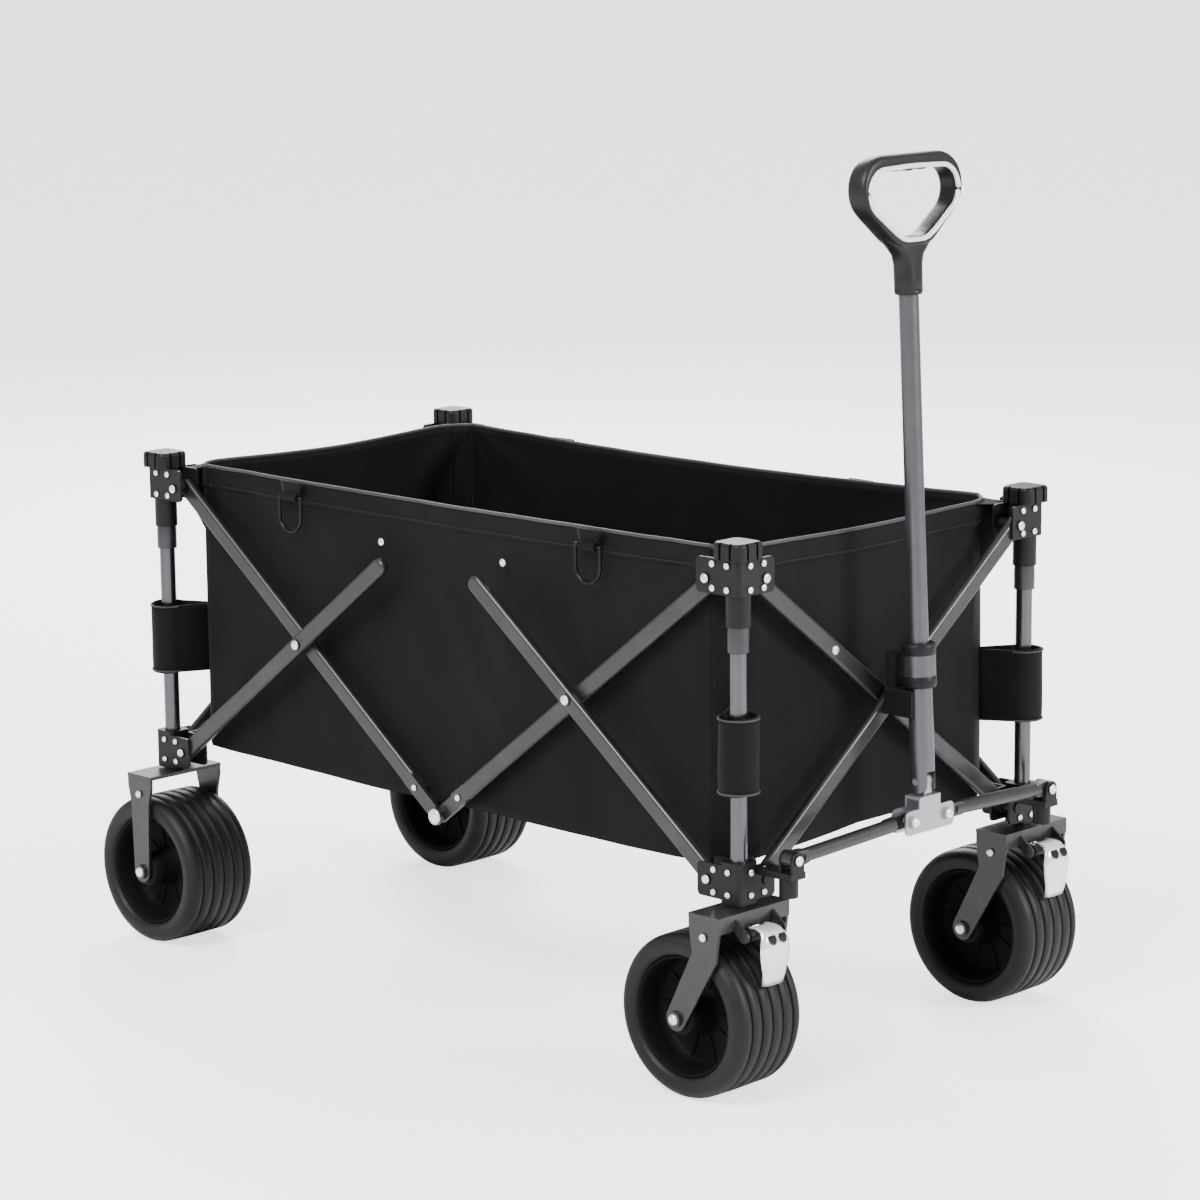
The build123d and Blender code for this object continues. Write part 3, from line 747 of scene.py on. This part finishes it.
# Corner gussets, post bands and ring patches
gussetCut = {"inner": (418.6, 196.6), "post": 14.9, "lowInner": 478, "lowOuter": 536,
             "top": 567.5, "bow": 1.2}
strap = {"inner": (418.0, 196.2), "low": 324, "tall": 80, "radius": 20.2, "start": 1.6, "half": 5.2,
         "wrap": 128, "bindings": (325.5, 402.5)}
for (sx, sy), corner in cornerName.items():
    body = topBody[sx, sy]
    inner = Vector(gussetCut["inner"])
    outer = Vector((postAlong - gussetCut["post"], postAcross - gussetCut["post"]))
    points, uv = [], []
    for r in range(9):
        for c in range(9):
            u, v = c / 8, r / 8
            place = inner.lerp(outer, u)
            lowZ = gussetCut["lowInner"] + (gussetCut["lowOuter"] - gussetCut["lowInner"]) * u ** 0.8
            z = lowZ * (1 - v) + (gussetCut["top"] - 2 * u) * v
            bow = gussetCut["bow"] * math.sin(math.pi * u) * math.sin(math.pi * v)
            points.append(at(sx * (place.x + bow), sy * (place.y - bow), z))
            uv.append((u * 0.03, z / 1000))
    gusset = newPiece("cornerGusset_" + corner, points, gridFaces(9, 9), webbingTape, body, uv)
    thicken(gusset, 0.0012)
    flap = [at(sx * x, sy * y, z) for x, y, z in (
        (405, 215.5, 569), (420, 203, 568), (431, 178, 568.5), (440, 216, 565), (424, 221, 566))]
    flapPoints = flap + [p - Vector((0, 0, 0.0014)) for p in flap]
    flapFaces = [(0, 1, 2, 3, 4), (9, 8, 7, 6, 5)]
    flapFaces += [(k, k + 5, (k + 1) % 5 + 5, (k + 1) % 5) for k in range(5)]
    flapUv = [(p.x, p.y) for p in flapPoints]
    newPiece("cornerFlap_" + corner, flapPoints, flapFaces, webbingTape, body, flapUv, smooth=False)
    # Band: closed outline round the post, pulled in to the bag corner.
    startX, startY = strap["inner"]
    out = Vector((postAlong - startX, postAcross - startY))
    span, heading = out.length, math.atan2(out.y, out.x)
    outline = [Vector((strap["start"], -strap["half"]))]
    for k in range(25):
        turn = math.radians(-strap["wrap"] + 2 * strap["wrap"] * k / 24)
        outline.append(Vector((span + strap["radius"] * math.cos(turn), strap["radius"] * math.sin(turn))))
    outline.append(Vector((strap["start"], strap["half"])))
    spin = Matrix.Rotation(heading, 2)
    points, uv = [], []
    rows = 12
    for r in range(rows):
        v = r / (rows - 1)
        z = strap["low"] + strap["tall"] * v
        run = 0.0
        for k, p in enumerate(outline):
            run += (p - outline[k - 1]).length if k else 0.0
            swell = 1.0 + 0.02 * math.sin(math.pi * v) + 0.012 * math.sin(5 * v + k * 0.6)
            q = spin @ Vector((span + (p.x - span) * swell if p.x > 8 else p.x, p.y * swell))
            points.append(at(sx * (startX + q.x), sy * (startY + q.y), z + 1.2 * math.sin(k * 0.25)))
            uv.append((run / 1000, z / 1000))
    band = newPiece("postBand_" + corner, points, gridFaces(rows, len(outline)), webbingTape, body, uv)
    thicken(band, 0.0016)
    if corner == "front_left":
        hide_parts("bag_strap_front_left")
    for z in strap["bindings"]:
        edgePath = []
        for p in outline[1:-1]:
            q = spin @ (Vector((span, 0)) + (p - Vector((span, 0))) * 1.055)
            edgePath.append(at(sx * (startX + q.x), sy * (startY + q.y), z))
        tubeAlong("bandBinding_%s_%d" % (corner, int(z)), edgePath, 0.0011, rimPiping, body, sides=8)
for side, sy in (("right", -1), ("left", 1)):
    for end, x in (("rear", -245.0), ("front", 230.0)):
        points, uv = [], []
        for r in range(8):
            for c in range(7):
                u, v = c / 6 - 0.5, r / 7
                width = 26 + 10 * v
                points.append(at(x + u * width, sy * (218.9 + 0.6 * math.cos(u * 3.1)), 549 + 20 * v))
                uv.append((u * 0.03, v * 0.02))
        place = "%s_%s" % (side, end)
        patch = newPiece("ringPatch_" + place, points, gridFaces(8, 7), webbingTape, "ring_tab_" + place, uv)
        thicken(patch, 0.001)
    dots = [(at(sx * 97, sy * 217.2, 517), (0, sy, 0), 4.4, 1.6) for sx in (-1, 1)]
    dotPiece = rivetHeads("barStrapRivets_" + side, dots, zincRivet, topBody[-1, sy])
    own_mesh(dotPiece)
print("bag trims done")

# Grip: a soft triangular loop with a bright trim line and finger ridges.
lean = math.radians(2.6)
hingeSpot = at(505.0, 0, 304.0)
handleTurn = Matrix.Rotation(-lean, 3, "Y")
handleAxis = handleTurn @ Vector((0, 0, 1))
gripShape = {
    "middleZ": 608, "thick": 12.4, "ridgeDepth": 2.4, "ridgePitch": 22.0, "round": 0.55,
    "outer": [(-45, 624, 34), (45, 624, 34), (-9, 601, 40), (9, 601, 40)],  # across, up, radius
    "inner": [(-44, 619, 23), (44, 619, 23), (-9, 600, 27), (9, 600, 27)],
    "neck": [(514.6, 13.2, 12.6), (515.5, 14.0, 13.2), (530, 14.0, 13.2), (544, 14.6, 13.0),
             (554, 18.5, 12.6), (562, 26, 12.2), (570, 36, 11.6), (575, 40, 9.0)]}  # up, wide, deep


def onHandle(x, y, z):
    return hingeSpot + handleTurn @ (Vector((x, y, z)) / 1000)


def loopRadius(circles, angle, centreZ):
    direction = Vector((math.cos(angle), math.sin(angle)))
    low, high = 0.0, 140.0
    for _ in range(26):
        reachOut = (low + high) / 2
        p = direction * reachOut + Vector((0, centreZ))
        inside = True
        for k in range(72):
            way = Vector((math.cos(k * math.pi / 36), math.sin(k * math.pi / 36)))
            limit = max(Vector((c[0], c[1])).dot(way) + c[2] for c in circles)
            if p.dot(way) > limit:
                inside = False
                break
        if inside:
            low = reachOut
        else:
            high = reachOut
    return low


def squared(value, power):
    return abs(value) ** power * math.copysign(1, value)


def gripLoop():
    points, trim = [], []
    steps, section, middleZ = 120, 20, gripShape["middleZ"]
    for k in range(steps):
        angle = 2 * math.pi * k / steps
        out = loopRadius(gripShape["outer"], angle, middleZ)
        hole = loopRadius(gripShape["inner"], angle, middleZ)
        ring = hole + 3.2
        if math.sin(angle) > 0.5:  # finger ridges under the top bar
            wave = math.sin(hole * math.cos(angle) * 2 * math.pi / gripShape["ridgePitch"] + math.pi / 2)
            hole -= gripShape["ridgeDepth"] * max(0.0, wave) ** 2
        middle, half = (out + hole) / 2, (out - hole) / 2
        for j in range(section):
            turn = 2 * math.pi * j / section
            r = middle + half * squared(math.cos(turn), gripShape["round"])
            x = gripShape["thick"] * squared(math.sin(turn), gripShape["round"])
            points.append(onHandle(x, r * math.cos(angle), middleZ + r * math.sin(angle)))
        trim.append(onHandle(12.3, ring * math.cos(angle), middleZ + ring * math.sin(angle)))
    grip = newPiece("gripLoop", points, gridFaces(steps, section, True, True), gripPlastic, "handle_upper")
    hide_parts("handle_grip")
    tubeAlong("gripTrimLine", trim, 0.0026, gripTrim, "handle_upper", closed=True, sides=12)
    points = []
    for z, wide, deep in gripShape["neck"]:
        for k in range(32):
            turn = 2 * math.pi * k / 32
            cy, cx = squared(math.cos(turn), 0.72), squared(math.sin(turn), 0.72)
            drop = 6.0 * (1 - cy ** 2) if z > 560 else 0
            points.append(onHandle(deep * cx, wide * cy, z - drop))
    faces = gridFaces(len(gripShape["neck"]), 32, True)
    faces.append(tuple(range(31, -1, -1)))
    newPiece("gripNeck", points, faces, gripPlastic, "handle_upper")


gripLoop()
print("grip done")


# Brake pedals: a pressed tread plate with rolled edges over a dark latch block.
pedal = {
    "outline": [(28.5, 188.4, 12), (33, 189.2, 13), (41, 189.2, 14), (47, 187.6, 15), (51, 183, 17),
                (53, 176, 20.5), (53.6, 168, 21.5), (53.4, 156, 20), (52.8, 146, 17.5), (51.4, 138, 16),
                (49.6, 131.5, 15)],  # out, up, half width
    "columns": 17, "ridges": (172, 165, 158), "slots": (-7.5, 7.5),
    "ridge": ((-13, 0), (-12, 1.4), (12, 1.4), (13, 0)),
    "slot": ((184, 4.6, 50.0), (181, 5.0, 52.6), (177.5, 3.4, 54.4), (175.5, 1.6, 54.2))}


def pedalPiece(sy, corner):
    body, middleY = "pedal_" + corner, sy * postAcross
    points, uv = [], []
    columns = pedal["columns"]
    for x, z, half in pedal["outline"]:
        for c in range(columns):
            w = 2 * c / (columns - 1) - 1
            roll = -3.2 * abs(w) ** 6
            crown = 1.2 * (1 - w * w)
            points.append(at(postAlong + x + roll + crown - 1.6, middleY + half * w, z))
            uv.append((half * w / 1000, z / 1000))
    faces = gridFaces(len(pedal["outline"]), columns)
    plate = newPiece("pedalTread_" + corner, points, faces, brakeChrome, body, uv)
    thicken(plate, 0.0024)
    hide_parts("pedal_" + corner)
    ribs, faces = [], []
    for z in pedal["ridges"]:
        start = len(ribs)
        for w, lift in pedal["ridge"]:
            for dz in (-1.2, 1.2):
                ribs.append(at(postAlong + 52.9 + lift, middleY + w, z + dz))
        faces += [tuple(start + i for i in face) for face in gridFaces(4, 2)]
    newPiece("pedalRidges_" + corner, ribs, faces, brakeChrome, body, smooth=False)
    cuts, faces = [], []
    for middle in pedal["slots"]:
        start = len(cuts)
        for z, half, lift in pedal["slot"]:
            for w in (-half, half):
                cuts.append(at(postAlong + lift + 0.9, middleY + middle + w, z))
        faces += [tuple(start + i for i in face) for face in gridFaces(4, 2)]
    slots = newPiece("pedalSlots_" + corner, cuts, faces, bracketNylon, body, smooth=False)
    thicken(slots, 0.0016)
    eye = [(6.2, -23), (6.2, 23), (3.2, 23.2), (3.2, -23.2), (6.2, -23)]
    lathe("pedalEye_" + corner, eye, at(postAlong + 33, middleY, 183), (0, 1, 0), bracketNylon, body, 32)


for side, sy in (("right", -1), ("left", 1)):
    pedalPiece(sy, "front_" + side)
for (sx, sy), corner in cornerName.items():
    centre = at(sx * postAlong, sy * postAcross, 0)
    bright = [(9.3, 470.4), (11.3, 470.4), (11.5, 471.2), (11.5, 490), (11.2, 496.6)]
    lathe("postCollar_" + corner, bright, centre, (0, 0, 1), frameSteel, topBody[sx, sy], 48)
collarProfile = [
    (13.1, 100.4), (16.4, 100.4), (17.6, 101.6), (18, 103.5), (18, 112), (17.4, 113), (17.4, 135),
    (18, 136), (18, 144.5), (17.5, 146.5), (16.2, 147.5), (10.7, 147.5)]
lathe("handleCollar", collarProfile, hingeSpot, handleAxis, bracketNylon, "handle_lower", 64)
neckRing = [(10.6, 512.8), (13.6, 512.8), (14.4, 513.6), (14.4, 517.5), (13.4, 518)]
lathe("gripCollar", neckRing, hingeSpot, handleAxis, gripPlastic, "handle_upper", 48)
print("pedals and collars done")


# Ground, lights and camera
def stageFloor():
    material = grainedMaterial(
        "paleFloor", (0.97, 0.97, 0.97), (0.96, 0.96, 0.96),
        roughness=0.7, metallic=0.0, grain=300.0, worn=0.2, bump=0.02)
    shader = material.node_tree.nodes["Principled BSDF"]
    seenBy = material.node_tree.nodes.new("ShaderNodeLightPath")
    lift = material.node_tree.nodes.new("ShaderNodeMath")
    lift.operation = "MULTIPLY"
    lift.inputs[1].default_value = 1.7
    material.node_tree.links.new(seenBy.outputs["Is Camera Ray"], lift.inputs[0])
    material.node_tree.links.new(lift.outputs[0], shader.inputs["Emission Strength"])
    shader.inputs["Emission Color"].default_value = (1, 1, 1, 1)
    mesh = bpy.data.meshes.new("paleGround")
    mesh.from_pydata([(-30, -30, 0), (30, -30, 0), (30, 30, 0), (-30, 30, 0)], [], [(0, 1, 2, 3)])
    mesh.materials.append(material)
    ground = bpy.data.objects.new("paleGround", mesh)
    bpy.context.scene.collection.objects.link(ground)


stageFloor()


def softLight(name, place, target, size, power):
    data = bpy.data.lights.new(name, "AREA")
    data.shape, data.size, data.energy = "DISK", size, power
    lamp = bpy.data.objects.new(name, data)
    lamp.location = place
    lamp.rotation_euler = (Vector(target) - Vector(place)).to_track_quat("-Z", "Y").to_euler()
    bpy.context.scene.collection.objects.link(lamp)


softLight("keyLight", (0.6, -3.4, 3.6), (0, 0, 0.3), 2.0, 260)
softLight("handleLight", (4.2, 1.4, 2.2), (0.4, 0, 0.5), 1.4, 200)
softLight("backLight", (-3.0, 2.6, 3.0), (0, 0, 0.4), 2.4, 240)
world = bpy.data.worlds.new("paleStudio")
bpy.context.scene.world = world
world.use_nodes = True
sky = world.node_tree
skyShader = sky.nodes["Background"]
skyShader.inputs["Color"].default_value = (1, 1, 1, 1)
seen = sky.nodes.new("ShaderNodeLightPath")
level = sky.nodes.new("ShaderNodeMapRange")
level.inputs["To Min"].default_value = 0.9
level.inputs["To Max"].default_value = 3.0
sky.links.new(seen.outputs["Is Camera Ray"], level.inputs["Value"])
sky.links.new(level.outputs["Result"], skyShader.inputs["Strength"])

view = {"place": (3060.2, -3075.7, 1272.3), "yaw": 2.3488, "pitch": -0.1913, "roll": -0.0097, "lens": 116.54}
ahead = math.cos(view["pitch"])
forward = Vector((ahead * math.cos(view["yaw"]), ahead * math.sin(view["yaw"]), math.sin(view["pitch"])))
right = forward.cross(Vector((0, 0, 1))).normalized()
up = right.cross(forward)
rolled = right * math.cos(view["roll"]) + up * math.sin(view["roll"])
rolledUp = up * math.cos(view["roll"]) - right * math.sin(view["roll"])
cameraData = bpy.data.cameras.new("wagonCamera")
cameraData.lens = view["lens"]
cameraData.sensor_width = 36.0
camera = bpy.data.objects.new("wagonCamera", cameraData)
turn = Matrix((rolled, rolledUp, -forward)).transposed()
camera.matrix_world = Matrix.Translation(at(*view["place"])) @ turn.to_4x4()
bpy.context.scene.collection.objects.link(camera)
bpy.context.scene.camera = camera
